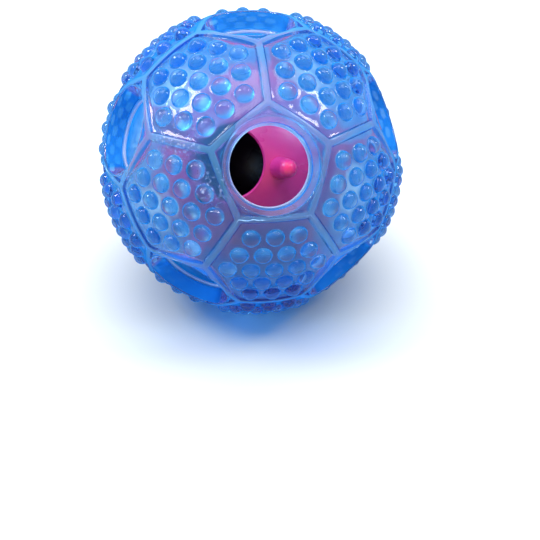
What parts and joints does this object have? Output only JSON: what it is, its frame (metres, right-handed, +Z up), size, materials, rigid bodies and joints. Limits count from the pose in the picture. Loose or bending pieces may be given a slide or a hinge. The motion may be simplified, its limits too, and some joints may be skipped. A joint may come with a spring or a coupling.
{
  "type": "treat dispensing ball",
  "caption": "Round treat dispensing ball: a clear rubber shell with nubbed soccer-ball panels and round holes, over a hollow inner ball that turns freely and has a treat hole.",
  "frame": {"origin": "centre of the shell and of the inner ball", "axes": "+Z up through the top hole of the shell as the ball stands on its bottom hole; the front hole looks towards -Y and upwards"},
  "size_m": [0.1092, 0.1098, 0.102],
  "materials": {
    "shell_rubber": "clear gloss",
    "core_plastic": "gloss"
  },
  "bodies": {
    "shell": {"upper_shell": "shell_rubber", "lower_shell": "shell_rubber"},
    "core": {"core_front": "core_plastic", "core_back": "core_plastic"}
  },
  "joints": [
    {"name": "core_turn", "type": "hinge", "parent": "shell", "child": "core", "pos_m": [0, 0, 0], "axis": [0, 0, 1], "continuous": true}
  ]
}
